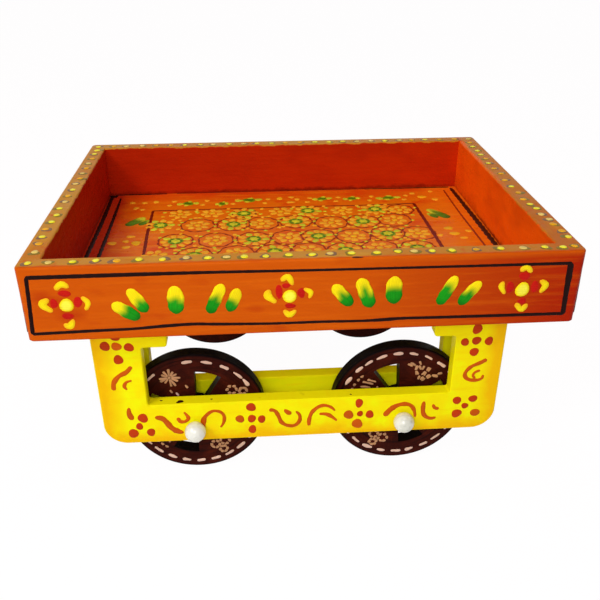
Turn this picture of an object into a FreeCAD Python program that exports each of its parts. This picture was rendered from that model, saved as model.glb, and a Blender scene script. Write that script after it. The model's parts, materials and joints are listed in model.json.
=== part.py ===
import FreeCAD, Part
import math
import os

import Sketcher
from FreeCAD import Rotation, Vector

# A hand-painted miniature wooden cart: an open tray of five boards on four C-shaped
# side boards, with four windowed disc wheels that turn on short wooden pins.
# Millimetres. +X runs along the tray (the way it rolls), +Y from the front long
# side to the back one, +Z up. The origin is on the ground under the tray's middle.

SIZES = {
    # tray
    "tray_length": 305.0,
    "tray_depth": 224.0,
    "tray_height": 44.5,
    "wall_thickness": 11.5,
    "right_wall_thickness": 14.0,
    "floor_thickness": 6.5,
    "floor_clearance": 0.1,
    "tray_corner_round": 3.5,
    "tray_foot_ease": 0.6,
    "rim_round": 1.2,
    # side boards under the tray
    "board_length": 245.0,
    "board_shift": -1.5,
    "board_height": 86.6,
    "board_thickness": 9.0,
    "board_inset_front": 16.5,
    "board_inset_back": 19.5,
    "board_edge_ease": 0.6,
    "post_width_left": 28.2,
    "post_width_right": 30.2,
    "bar_height": 28.3,
    "lug_reach": 43.5,
    "lug_height": 17.0,
    "lug_nose_round": 2.0,
    "saw_corner_round": 1.5,
    "outer_corner_round": 14.0,
    # wheels
    "wheel_diameter": 87.5,
    "wheel_thickness": 9.0,
    "wheel_edge_ease": 0.7,
    "window_outer_radius": 31.3,
    "window_inner_radius": 9.5,
    "window_angle": 31.5,
    "window_count": 4,
    "play_outside": 3.6,
    "play_inside": 3.2,
    "bore_slack": 1.35,
    "bore_rest_gap": 0.1,
    # axle pins and their end beads
    "axle_diameter": 6.0,
    "axle_spacing_front": 130.0,
    "axle_shift_front": -3.0,
    "axle_spacing_back": 125.1,
    "axle_shift_back": -0.4,
    "axle_above_edge": 10.7,
    "axle_tail": 1.5,
    "axle_chamfer": 0.5,
    "glue_clearance": 0.05,
    "bead_diameter": 12.8,
    "bead_middle": 5.0,
    "bead_seat": 7.0,
    "bead_seat_play": 0.2,
}

# How far each wheel is turned at rest, in degrees, clockwise seen from the front.
WHEEL_TURNS = {
    "front_left": 16.5,
    "front_right": -18.5,
    "back_left": 38.0,
    "back_right": 7.0,
}

# Heights that follow from the driving sizes. The wheels' bores are loose on the
# pins, so that each pin rests low in its bore.
WHEEL_HEIGHT = "(sizes.wheel_diameter / 2)"
AXLE_HEIGHT = "(sizes.wheel_diameter / 2 - sizes.bore_slack + sizes.bore_rest_gap)"
BOARD_FOOT = AXLE_HEIGHT + " - sizes.axle_above_edge"
TRAY_FOOT = BOARD_FOOT + " + sizes.board_height"
BORE_RADIUS = "(sizes.axle_diameter / 2 + sizes.bore_slack)"
GLUED_RADIUS = "(sizes.axle_diameter / 2 + sizes.glue_clearance)"

# Each row of wheels runs in a slot between an outer and an inner side board. A face
# here is a distance from the tray's middle plane.
WHEEL_SLOT = "(sizes.play_outside + sizes.wheel_thickness + sizes.play_inside)"
OUTER_FACE = {
    "front": "(sizes.tray_depth / 2 - sizes.board_inset_front)",
    "back": "(sizes.tray_depth / 2 - sizes.board_inset_back)",
}
AXLE_PLACES = {
    "front": {
        "left": "(sizes.axle_shift_front - sizes.axle_spacing_front / 2)",
        "right": "(sizes.axle_shift_front + sizes.axle_spacing_front / 2)",
    },
    "back": {
        "left": "(sizes.axle_shift_back - sizes.axle_spacing_back / 2)",
        "right": "(sizes.axle_shift_back + sizes.axle_spacing_back / 2)",
    },
}

doc = FreeCAD.newDocument("cart")
sheet = doc.addObject("Spreadsheet::Sheet", "sizes")
for row, (name, value) in enumerate(SIZES.items(), start=1):
    sheet.set("A%d" % row, name)
    sheet.set("B%d" % row, str(value))
    sheet.setAlias("B%d" % row, name)
doc.recompute()

parts = []

Y_AXIS = Vector(0, 1, 0)
Z_AXIS = Vector(0, 0, 1)
NEAR = 0.01


def new_body(label, x="0", y="0", z="0", turn=None):
    """A body whose place follows the sheet; turn is an (axis, degrees) pair."""
    body = doc.addObject("PartDesign::Body", label)
    body.Label = label
    if turn is not None:
        axis, degrees = turn
        body.Placement.Rotation = Rotation(axis, degrees)
    for direction, formula in (("x", x), ("y", y), ("z", z)):
        body.setExpression("Placement.Base." + direction, formula)
    parts.append(body)
    return body


def new_sketch(body, plane, name):
    """An empty sketch on one of the body's own origin planes."""
    sketch = body.newObject("Sketcher::SketchObject", body.Label + "_" + name)
    support = next(f for f in body.Origin.OriginFeatures if f.Role == plane)
    sketch.AttachmentSupport = [(support, "")]
    sketch.MapMode = "FlatFace"
    return sketch


def value_of(formula):
    """What a formula of the sheet comes to now, to draw a sketch near its place."""
    value = sheet.evalExpression(formula.replace("sizes.", ""))
    return float(getattr(value, "Value", value))


def bind(sketch, kind, *references, formula):
    """A driving dimension of the sketch that follows a formula of the sheet."""
    start = value_of(formula)
    if kind == "Angle":
        start = math.radians(start)
    number = sketch.addConstraint(Sketcher.Constraint(kind, *references, start))
    sketch.setExpression("Constraints[%d]" % number, formula)


def pin_point(sketch, geometry, point, across, up):
    """Holds one point of the sketch at two coordinates from the sketch's origin."""
    bind(sketch, "DistanceX", -1, 1, geometry, point, formula=across)
    bind(sketch, "DistanceY", -1, 1, geometry, point, formula=up)


def join_points(sketch, first, first_point, second, second_point):
    """Makes two points of the sketch's geometry one."""
    sketch.addConstraint(Sketcher.Constraint("Coincident", first, first_point, second, second_point))


def draw_line(sketch, start, end):
    """A straight line between two pairs of formulas, near its place and not yet held."""
    points = [Vector(value_of(across), value_of(up), 0) for across, up in (start, end)]
    return sketch.addGeometry(Part.LineSegment(*points))


def draw_outline(sketch, corners):
    """A closed outline of straight lines through corners, each a pair of formulas."""
    count = len(corners)
    lines = [draw_line(sketch, corners[i], corners[(i + 1) % count]) for i in range(count)]
    for i, line in enumerate(lines):
        join_points(sketch, line, 2, lines[(i + 1) % count], 1)
        pin_point(sketch, line, 1, *corners[i])


def draw_circle(sketch, across, up, radius):
    """A circle held by its centre and radius, each a formula."""
    centre = Vector(value_of(across), value_of(up), 0)
    circle = sketch.addGeometry(Part.Circle(centre, Z_AXIS, value_of(radius)))
    pin_point(sketch, circle, 3, across, up)
    bind(sketch, "Radius", circle, formula=radius)


def pad(body, sketch, name, length, backwards=False):
    """Raises a sketch into a solid; backwards means against the sketch's normal."""
    feature = body.newObject("PartDesign::Pad", body.Label + "_" + name)
    feature.Profile = sketch
    feature.setExpression("Length", length)
    feature.Reversed = backwards
    doc.recompute()
    return feature


def cut(body, sketch, name, length=None):
    """Cuts a sketch out of the body, both ways from its plane: right through, or only
    the given length in all. Checks that it took material."""
    before = body.Shape.Volume
    feature = body.newObject("PartDesign::Pocket", body.Label + "_" + name)
    feature.Profile = sketch
    feature.SideType = "Symmetric"
    if length is None:
        feature.Type = "ThroughAll"
    else:
        feature.Type = "Length"
        feature.setExpression("Length", length)
    doc.recompute()
    if not body.Shape.Volume < before:
        raise RuntimeError(feature.Name + " cuts nothing")
    return feature


def edges_where(feature, wanted):
    """The names of the feature's edges for which wanted(edge) is true."""
    return ["Edge%d" % i for i, edge in enumerate(feature.Shape.Edges, start=1) if wanted(edge)]


def dress(body, kind, name, base, edges, size):
    """A Fillet or a Chamfer of the named edges, as large as the formula says."""
    before = base.Shape.Volume
    feature = body.newObject("PartDesign::" + kind, body.Label + "_" + name)
    feature.Base = (base, edges)
    feature.setExpression({"Fillet": "Radius", "Chamfer": "Size"}[kind], size)
    doc.recompute()
    if not edges or feature.Shape.isNull() or feature.Shape.Volume == before:
        raise RuntimeError(feature.Name + " rounds nothing")
    return feature


def is_straight_along(edge, direction):
    """True for a straight edge that runs along the given direction."""
    if not isinstance(edge.Curve, Part.Line):
        return False
    along = edge.Vertexes[-1].Point - edge.Vertexes[0].Point
    return abs(abs(along.normalize().dot(direction)) - 1) < 1e-6


def at_corner(edge, across, up):
    """True for an edge along the body's Y at the corner given by two formulas."""
    middle = edge.CenterOfMass
    near = abs(middle.x - value_of(across)) < NEAR and abs(middle.z - value_of(up)) < NEAR
    return near and is_straight_along(edge, Y_AXIS)


def is_level_at(edge, height):
    """True for an edge that lies flat at a height of the body."""
    return abs(edge.BoundBox.ZMin - height) < NEAR and abs(edge.BoundBox.ZMax - height) < NEAR


# The tray's long walls run its whole length, and the end walls stand between them,
# the right one sawn from a thicker plank. Each wall's frame has its outer face at y 0.
def build_long_wall(label, side):
    """side is -1 for the front wall and 1 for the back one."""
    turn = (Z_AXIS, 0 if side < 0 else 180)
    body = new_body(label, "0", "%d * sizes.tray_depth / 2" % side, TRAY_FOOT, turn)
    sketch = new_sketch(body, "XY_Plane", "plan")
    draw_wall_plan(sketch, "(sizes.tray_length / 2)", "sizes.wall_thickness")
    board = pad(body, sketch, "board", "sizes.tray_height")

    corners = edges_where(board, lambda e: is_straight_along(e, Z_AXIS) and e.CenterOfMass.y < NEAR)
    rounded = dress(body, "Fillet", "corners", board, corners, "sizes.tray_corner_round")
    ease_outer_edges(body, rounded, lambda e: e.BoundBox.YMin < value_of("sizes.tray_corner_round") + NEAR)

    # The inner edge of the rim is rounded only between the end walls.
    cutter = new_sketch(body, "YZ_Plane", "inner_edge")
    middle = "%d * (sizes.right_wall_thickness - sizes.wall_thickness) / 2" % side
    cutter.setExpression("AttachmentOffset.Base.z", middle)
    draw_edge_cutter(cutter, "sizes.wall_thickness", "sizes.tray_height", "sizes.rim_round")
    length = "sizes.tray_length - sizes.wall_thickness - sizes.right_wall_thickness"
    cut(body, cutter, "inner_rim", length)


def build_end_wall(label, side, thickness):
    """side is -1 for the left wall and 1 for the right one."""
    turn = (Z_AXIS, -90 if side < 0 else 90)
    body = new_body(label, "%d * sizes.tray_length / 2" % side, "0", TRAY_FOOT, turn)
    sketch = new_sketch(body, "XY_Plane", "plan")
    draw_wall_plan(sketch, "(sizes.tray_depth / 2 - sizes.wall_thickness)", thickness)
    board = pad(body, sketch, "board", "sizes.tray_height")
    eased = ease_outer_edges(body, board, lambda e: e.BoundBox.YMax < NEAR)

    top = value_of("sizes.tray_height")
    inner = value_of(thickness)
    edge = edges_where(eased, lambda e: is_level_at(e, top) and e.BoundBox.YMin > inner - NEAR)
    dress(body, "Fillet", "inner_rim", eased, edge, "sizes.rim_round")


def draw_wall_plan(sketch, half, thickness):
    """The plan of a wall that reaches half its length each way from its middle."""
    draw_outline(sketch, [
        ("-" + half, "0"),
        (half, "0"),
        (half, thickness),
        ("-" + half, thickness),
    ])


def ease_outer_edges(body, board, is_outer):
    """Rounds a wall's outer top edges and takes the sharpness off its outer foot."""
    top = value_of("sizes.tray_height")
    rim = edges_where(board, lambda e: is_level_at(e, top) and is_outer(e))
    rounded = dress(body, "Fillet", "outer_rim", board, rim, "sizes.rim_round")
    foot = edges_where(rounded, lambda e: is_level_at(e, 0) and is_outer(e))
    return dress(body, "Chamfer", "foot", rounded, foot, "sizes.tray_foot_ease")


def draw_edge_cutter(sketch, across, up, radius):
    """The sliver outside a quarter round of the corner at (across, up)."""
    corner = (across, up)
    below = (across, up + " - " + radius)
    beside = (across + " - " + radius, up)
    down = draw_line(sketch, corner, below)
    back = draw_line(sketch, beside, corner)
    centre = Vector(value_of(beside[0]), value_of(below[1]), 0)
    arc = sketch.addGeometry(Part.ArcOfCircle(
        Part.Circle(centre, Z_AXIS, value_of(radius)), 0.0, math.pi / 2))
    pin_point(sketch, down, 1, *corner)
    pin_point(sketch, down, 2, *below)
    pin_point(sketch, back, 1, *beside)
    join_points(sketch, back, 2, down, 1)
    join_points(sketch, arc, 1, down, 2)
    join_points(sketch, arc, 2, back, 1)
    bind(sketch, "Radius", arc, formula=radius)


def build_tray_floor():
    """The floor board, flush with the undersides of the walls that hold it."""
    body = new_body("tray_floor", "0", "0", TRAY_FOOT)
    sketch = new_sketch(body, "XY_Plane", "plan")
    left = "-(sizes.tray_length / 2 - sizes.wall_thickness - sizes.floor_clearance)"
    right = "(sizes.tray_length / 2 - sizes.right_wall_thickness - sizes.floor_clearance)"
    along = "(sizes.tray_depth / 2 - sizes.wall_thickness - sizes.floor_clearance)"
    draw_outline(sketch, [
        (left, "-" + along),
        (right, "-" + along),
        (right, along),
        (left, along),
    ])
    pad(body, sketch, "board", "sizes.floor_thickness")


# Each side board is one sawn plank: a bar between two posts, with a lug turned in at
# the top of each post where the plank is glued and nailed under the tray's floor.
def build_side_board(label, row, low_face):
    """low_face is the formula of the board's face nearer to the front of the cart."""
    body = new_body(label, "sizes.board_shift", low_face, BOARD_FOOT)
    outline = new_sketch(body, "XZ_Plane", "outline")
    end = "sizes.board_length / 2"
    window_left = "-(sizes.board_length / 2 - sizes.post_width_left)"
    window_right = "(sizes.board_length / 2 - sizes.post_width_right)"
    nose = "(sizes.board_length / 2 - sizes.lug_reach)"
    lug_foot = "(sizes.board_height - sizes.lug_height)"
    draw_outline(outline, [
        ("-" + end, "0"),
        (end, "0"),
        (end, "sizes.board_height"),
        (nose, "sizes.board_height"),
        (nose, lug_foot),
        (window_right, lug_foot),
        (window_right, "sizes.bar_height"),
        (window_left, "sizes.bar_height"),
        (window_left, lug_foot),
        ("-" + nose, lug_foot),
        ("-" + nose, "sizes.board_height"),
        ("-" + end, "sizes.board_height"),
    ])
    shape = pad(body, outline, "plank", "sizes.board_thickness", backwards=True)
    for name, radius, corners in (
        ("outer_corners", "sizes.outer_corner_round", [("-" + end, "0"), (end, "0")]),
        ("lug_noses", "sizes.lug_nose_round", [("-" + nose, lug_foot), (nose, lug_foot)]),
        ("window_corners", "sizes.saw_corner_round", [
            (window_left, "sizes.bar_height"),
            (window_right, "sizes.bar_height"),
            (window_left, lug_foot),
            (window_right, lug_foot),
        ]),
    ):
        edges = edges_where(shape, lambda e: any(at_corner(e, *corner) for corner in corners))
        shape = dress(body, "Fillet", name, shape, edges, radius)

    thickness = value_of("sizes.board_thickness")
    sawn = edges_where(shape, lambda e: e.BoundBox.YMax < NEAR or e.BoundBox.YMin > thickness - NEAR)
    dress(body, "Chamfer", "eased_edges", shape, sawn, "sizes.board_edge_ease")

    holes = new_sketch(body, "XZ_Plane", "axle_holes")
    for across in AXLE_PLACES[row].values():
        draw_circle(holes, across + " - sizes.board_shift", "sizes.axle_above_edge", GLUED_RADIUS)
    cut(body, holes, "axle_bores")


# A wheel is a plank disc with sector windows sawn out round the hub, so that broad
# spokes are left between them.
def build_wheel(label, across, low_face, turn):
    """low_face is the formula of the wheel's face nearer to the front of the cart."""
    body = new_body(label, across, low_face, WHEEL_HEIGHT, (Y_AXIS, turn))
    face = new_sketch(body, "XZ_Plane", "face")
    draw_circle(face, "0", "0", "sizes.wheel_diameter / 2")
    draw_circle(face, "0", "0", BORE_RADIUS)
    disc = pad(body, face, "disc", "sizes.wheel_thickness", backwards=True)

    rim_radius = value_of("sizes.wheel_diameter / 2")
    rim = edges_where(
        disc, lambda e: isinstance(e.Curve, Part.Circle) and abs(e.Curve.Radius - rim_radius) < NEAR)
    dress(body, "Chamfer", "rim", disc, rim, "sizes.wheel_edge_ease")

    window = new_sketch(body, "XZ_Plane", "window")
    draw_sector(window, "sizes.window_inner_radius", "sizes.window_outer_radius", "sizes.window_angle")
    opening = cut(body, window, "window_opening")
    before = body.Shape.Volume
    pattern = body.newObject("PartDesign::PolarPattern", label + "_windows")
    pattern.Originals = [opening]
    pattern.Axis = (next(f for f in body.Origin.OriginFeatures if f.Role == "Y_Axis"), [""])
    pattern.Angle = 360
    pattern.setExpression("Occurrences", "sizes.window_count")
    body.Tip = pattern
    doc.recompute()
    if not body.Shape.Volume < before:
        raise RuntimeError(label + " has one window only")


def draw_sector(sketch, inner, outer, angle):
    """A sector window about the sketch's upright axis: two arcs and two radial sides."""
    sides = {1: "(90 - %s / 2) * 1 deg" % angle, 2: "(90 + %s / 2) * 1 deg" % angle}
    start, end = [math.radians(value_of(formula)) for formula in sides.values()]
    arcs = []
    for radius in (inner, outer):
        circle = Part.Circle(Vector(0, 0, 0), Z_AXIS, value_of(radius))
        arc = sketch.addGeometry(Part.ArcOfCircle(circle, start, end))
        join_points(sketch, arc, 3, -1, 1)
        bind(sketch, "Radius", arc, formula=radius)
        arcs.append(arc)
    for point, direction in sides.items():
        ends = [sketch.getPoint(arc, point) for arc in arcs]
        side = sketch.addGeometry(Part.LineSegment(*ends))
        for line_point, arc in enumerate(arcs, start=1):
            join_points(sketch, side, line_point, arc, point)
        sketch.addConstraint(Sketcher.Constraint("PointOnObject", -1, 1, side))
        bind(sketch, "Angle", side, formula=direction)


# The axle is a plain wooden pin, glued into both side boards of its row. side is -1
# at the front of the cart and 1 at the back; its bead end is always the outer one.
def build_axle(label, row, across, side):
    turn = (Z_AXIS, 0 if side < 0 else 180)
    place = "%d * (%s + sizes.bead_seat)" % (side, OUTER_FACE[row])
    body = new_body(label, across, place, AXLE_HEIGHT, turn)
    section = new_sketch(body, "XZ_Plane", "section")
    draw_circle(section, "0", "0", "sizes.axle_diameter / 2")
    length = "sizes.bead_seat + 2 * sizes.board_thickness + " + WHEEL_SLOT + " + sizes.axle_tail"
    pin = pad(body, section, "pin", length, backwards=True)
    ends = edges_where(pin, lambda e: isinstance(e.Curve, Part.Circle))
    dress(body, "Chamfer", "ends", pin, ends, "sizes.axle_chamfer")


# The bead is a turned ball with a flat base on the board and a blind hole that the
# axle is glued in.
def build_bead(label, row, across, side):
    turn = (Z_AXIS, 0 if side < 0 else 180)
    body = new_body(label, across, "%d * %s" % (side, OUTER_FACE[row]), AXLE_HEIGHT, turn)
    profile = new_sketch(body, "XY_Plane", "profile")
    radius = "sizes.bead_diameter / 2"
    middle = "-sizes.bead_middle"
    tip = "-(sizes.bead_middle + sizes.bead_diameter / 2)"
    seat = "-(sizes.bead_seat + sizes.bead_seat_play)"
    base = "sqrt((%s) ^ 2 - sizes.bead_middle ^ 2)" % radius
    foot = draw_line(profile, (GLUED_RADIUS, "0"), (base, "0"))
    axis = draw_line(profile, ("0", tip), ("0", seat))
    floor = draw_line(profile, ("0", seat), (GLUED_RADIUS, seat))
    wall = draw_line(profile, (GLUED_RADIUS, seat), (GLUED_RADIUS, "0"))
    ball = profile.addGeometry(Part.ArcOfCircle(
        Part.Circle(Vector(0, value_of(middle), 0), Z_AXIS, value_of(radius)),
        -math.pi / 2, math.atan2(-value_of(middle), value_of(base))))
    pin_point(profile, foot, 1, GLUED_RADIUS, "0")
    pin_point(profile, floor, 1, "0", seat)
    pin_point(profile, wall, 1, GLUED_RADIUS, seat)
    pin_point(profile, ball, 3, "0", middle)
    bind(profile, "Radius", ball, formula=radius)
    profile.addConstraint(Sketcher.Constraint("Horizontal", foot))
    profile.addConstraint(Sketcher.Constraint("Vertical", axis))
    join_points(profile, axis, 2, floor, 1)
    join_points(profile, floor, 2, wall, 1)
    join_points(profile, wall, 2, foot, 1)
    join_points(profile, foot, 2, ball, 2)
    join_points(profile, ball, 1, axis, 1)

    turned = body.newObject("PartDesign::Revolution", label + "_turned")
    turned.Profile = profile
    turned.ReferenceAxis = (profile, ["V_Axis"])
    turned.Angle = 360
    doc.recompute()


build_long_wall("tray_wall_front", -1)
build_long_wall("tray_wall_back", 1)
build_end_wall("tray_wall_left", -1, "sizes.wall_thickness")
build_end_wall("tray_wall_right", 1, "sizes.right_wall_thickness")
build_tray_floor()

# Going in from its outer face, each row has a board, the wheels' slot and a board.
for row, side in (("front", -1), ("back", 1)):
    outer = OUTER_FACE[row]
    inner = "(%s - sizes.board_thickness - %s)" % (outer, WHEEL_SLOT)
    wheel = "(%s - sizes.board_thickness - sizes.play_outside)" % outer
    # A body is placed by its face nearer to the front of the cart, which is its
    # outer face in the front row and its inner one in the back row.
    if side < 0:
        low_faces = {"outer": "-" + outer, "inner": "-" + inner, "wheel": "-" + wheel}
    else:
        low_faces = {
            "outer": outer + " - sizes.board_thickness",
            "inner": inner + " - sizes.board_thickness",
            "wheel": wheel + " - sizes.wheel_thickness",
        }
    for layer in ("outer", "inner"):
        build_side_board("side_board_%s_%s" % (row, layer), row, low_faces[layer])
    for column, across in AXLE_PLACES[row].items():
        place = row + "_" + column
        build_wheel("wheel_" + place, across, low_faces["wheel"], WHEEL_TURNS[place])
        build_axle("axle_" + place, row, across, side)
        build_bead("axle_bead_" + place, row, across, side)

doc.recompute()

for item in doc.Objects:
    if "Invalid" in item.State or "Error" in item.State:
        raise RuntimeError(item.Label + " did not build: " + str(item.State))
for body in parts:
    if body.Shape.isNull() or not body.Shape.isValid() or len(body.Shape.Solids) != 1:
        raise RuntimeError(body.Label + " is not one valid solid")

os.makedirs("parts", exist_ok=True)
for body in parts:
    body.Shape.exportStep("parts/" + body.Label + ".step")
    box = body.Shape.BoundBox
    print("%-24s %8.1f mm3  x %.1f..%.1f  y %.1f..%.1f  z %.1f..%.1f" % (
        body.Label, body.Shape.Volume, box.XMin, box.XMax, box.YMin, box.YMax, box.ZMin, box.ZMax))
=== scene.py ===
import json
import random
from math import cos, degrees, hypot, pi, radians, sin, sqrt, tau

import bpy
from mathutils import Matrix, Vector


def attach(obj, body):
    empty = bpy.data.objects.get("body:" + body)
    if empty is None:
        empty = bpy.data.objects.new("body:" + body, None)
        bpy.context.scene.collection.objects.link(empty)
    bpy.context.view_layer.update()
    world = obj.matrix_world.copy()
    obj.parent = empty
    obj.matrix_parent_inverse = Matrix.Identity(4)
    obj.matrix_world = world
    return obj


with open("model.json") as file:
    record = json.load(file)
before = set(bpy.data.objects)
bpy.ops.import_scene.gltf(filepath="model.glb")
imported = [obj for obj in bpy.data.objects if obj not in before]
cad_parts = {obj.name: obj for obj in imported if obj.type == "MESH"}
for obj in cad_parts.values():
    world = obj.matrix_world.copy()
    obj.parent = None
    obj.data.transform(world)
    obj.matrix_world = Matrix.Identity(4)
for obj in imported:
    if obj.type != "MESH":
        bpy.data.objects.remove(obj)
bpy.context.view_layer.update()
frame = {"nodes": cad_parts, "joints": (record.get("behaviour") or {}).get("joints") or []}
MM = 0.001

bpy.context.scene.view_settings.view_transform = "Standard"

# Camera: solved from the tray's corners in the photograph.
CAMERA_PLACE = Vector((-0.02735, -0.4535, 0.3242))
CAMERA_YAW = radians(3.92)
CAMERA_PITCH = radians(28.46)
CAMERA_ROLL = radians(-0.13)
FOCAL_PIXELS = 716.2
IMAGE_PIXELS = 600

LOW, HIGH = 0, 1
X, Y, Z = 0, 1, 2


def solid_box(node):
    """A solid's lowest and highest corner at rest, in millimetres."""
    corners = [Vector(corner) / MM for corner in frame["nodes"][node].bound_box]
    return [[round(pick(corner[axis] for corner in corners), 1) for axis in (X, Y, Z)] for pick in (min, max)]


# Places on the solids that carry painted marks, in millimetres.
WALLS = {side: solid_box("tray_wall_" + side) for side in ("front", "back", "left", "right")}
FRONT_FACE = WALLS["front"][LOW][Y]
BACK_FACE = WALLS["back"][HIGH][Y]
END_FACE = WALLS["right"][HIGH][X]
RIM_TOP = WALLS["front"][HIGH][Z]
TRAY_FOOT = WALLS["front"][LOW][Z]
INNER_LEFT = WALLS["left"][HIGH][X]
INNER_RIGHT = WALLS["right"][LOW][X]
INNER_Y = WALLS["back"][LOW][Y]
FLOOR_TOP = solid_box("tray_floor")[HIGH][Z]
FRONT_BOARD = solid_box("side_board_front_outer")
BACK_BOARD = solid_box("side_board_back_outer")
BOARD_LEFT, BOARD_RIGHT = FRONT_BOARD[LOW][X], FRONT_BOARD[HIGH][X]
BOARD_FOOT = FRONT_BOARD[LOW][Z]
# The lower bar of a side board is this high.
BAR_HEIGHT = 28.3
BOARD_FACE = {"front": FRONT_BOARD[LOW][Y], "back": BACK_BOARD[HIGH][Y]}
WHEEL_FACE = {"front": solid_box("wheel_front_left")[LOW][Y], "back": solid_box("wheel_back_left")[HIGH][Y]}
WHEEL_PLACES = {
    joint["child"].removeprefix("wheel_"): [round(part / MM, 2) for part in joint["pos_m"]]
    for joint in frame["joints"]
}
# How far each wheel is turned at rest, in degrees, clockwise seen from the front.
WHEEL_TURNS = {"front_left": 16.5, "front_right": -18.5, "back_left": 38, "back_right": 7}


def tone(red, green, blue):
    """A paint's colour, from its screen values to the linear ones that a shader takes."""
    def linear(value):
        share = value / 255
        return share / 12.92 if share <= 0.04045 else ((share + 0.055) / 1.055) ** 2.4
    return linear(red), linear(green), linear(blue)


def blend(first, second, share):
    return tuple(a + (b - a) * share for a, b in zip(first, second))


# Paints
ORANGE_LEFT = tone(203, 84, 5)
# A darker orange for painted shade at the right end of the tray's outside.
ORANGE_SHADED_RIGHT = tone(170, 32, 4)
ORANGE_STREAK = tone(226, 108, 10)
ORANGE_DEEP = tone(176, 44, 4)
# Reds of the tray's inside: darker on the left, a painted shade, and lighter at the back and right, a painted
# light.
RED_WALL_SHADED_LEFT = tone(183, 36, 5)
RED_WALL_BACK_LIT = tone(200, 48, 5)
RED_WALL_RIGHT_LIT = tone(250, 94, 6)
RED_WALL_DEEP = tone(150, 20, 6)
RIM_TAN = tone(200, 136, 44)
RIM_ORANGE = tone(198, 104, 6)
FLOOR_OCHRE = tone(232, 108, 8)
FLOOR_RED = tone(220, 60, 8)
# A crimson for the left wall's painted shadow on the floor.
FLOOR_WALL_SHADOW = tone(178, 34, 12)
FLOOR_LIGHT = tone(248, 142, 18)
BOARD_YELLOW = tone(250, 232, 6)
# A lighter yellow for the inner boards, painted light against the shade they stand in.
BOARD_LIGHTENED_YELLOW = tone(255, 250, 8)
BOARD_LEMON = tone(246, 248, 8)
BOARD_AMBER = tone(246, 188, 6)
# A greener yellow and a dark olive for painted shade on the side boards' sawn edges.
BOARD_EDGE_SHADE_OLIVE = tone(250, 240, 6)
BOARD_EDGE_SHADE_DARK = tone(150, 128, 8)
WHEEL_BROWN = tone(54, 15, 9)
WHEEL_RED = tone(78, 24, 12)
WHEEL_BLACK = tone(14, 6, 7)
YELLOW = tone(252, 226, 14)
LEMON = tone(255, 242, 70)
PALE_YELLOW = tone(240, 206, 110)
GOLD = tone(246, 176, 24)
LEAF_GREEN = tone(24, 148, 20)
PETAL_RED = tone(196, 24, 14)
BLACK = tone(30, 8, 6)
OLIVE = tone(140, 112, 26)
GREY_VIOLET = tone(136, 96, 62)
RUST = tone(120, 22, 6)
RING_BROWN = tone(150, 42, 8)
DARK_BROWN = tone(56, 20, 8)
MOTIF_ORANGE = tone(208, 90, 8)
MOTIF_RED = tone(194, 58, 10)
ROSE_ORANGE = tone(255, 174, 36)
ROSE_GREEN = tone(140, 148, 16)
ROSE_LIME = tone(214, 204, 40)
FLOOR_GREEN = tone(84, 122, 14)
DASH_PINK = tone(236, 196, 176)
SPRAY_TAN = tone(200, 148, 108)
BEAD_WHITE = tone(236, 236, 226)
BEAD_GREY = tone(186, 188, 170)
PIN_WOOD = tone(170, 124, 74)
PIN_DARK = tone(112, 74, 40)
PRIMER = tone(232, 200, 96)
PRIMER_DARK = tone(206, 166, 70)


def add_object(name, data):
    """A new object of the scene."""
    item = bpy.data.objects.new(name, data)
    bpy.context.scene.collection.objects.link(item)
    return item


def add_camera():
    forward = Vector((
        sin(CAMERA_YAW) * cos(CAMERA_PITCH),
        cos(CAMERA_YAW) * cos(CAMERA_PITCH),
        -sin(CAMERA_PITCH),
    ))
    level = Vector((cos(CAMERA_YAW), -sin(CAMERA_YAW), 0))
    upright = level.cross(forward)
    right = level * cos(CAMERA_ROLL) + upright * sin(CAMERA_ROLL)
    up = upright * cos(CAMERA_ROLL) - level * sin(CAMERA_ROLL)
    data = bpy.data.cameras.new("camera")
    data.sensor_width = 36
    data.lens = FOCAL_PIXELS / IMAGE_PIXELS * data.sensor_width
    data.clip_start = 0.01
    camera = add_object("camera", data)
    turn = Matrix((right, up, -forward)).transposed().to_4x4()
    camera.matrix_world = Matrix.Translation(CAMERA_PLACE) @ turn
    bpy.context.scene.camera = camera


def add_area(name, place, aim, size, watts):
    """A square lamp, in metres, that looks from its place at its aim."""
    data = bpy.data.lights.new(name, "AREA")
    data.size = size
    data.energy = watts
    lamp = add_object(name, data)
    direction = (Vector(aim) - Vector(place)).normalized()
    turn = direction.to_track_quat("-Z", "Y").to_matrix().to_4x4()
    lamp.matrix_world = Matrix.Translation(Vector(place)) @ turn


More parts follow.
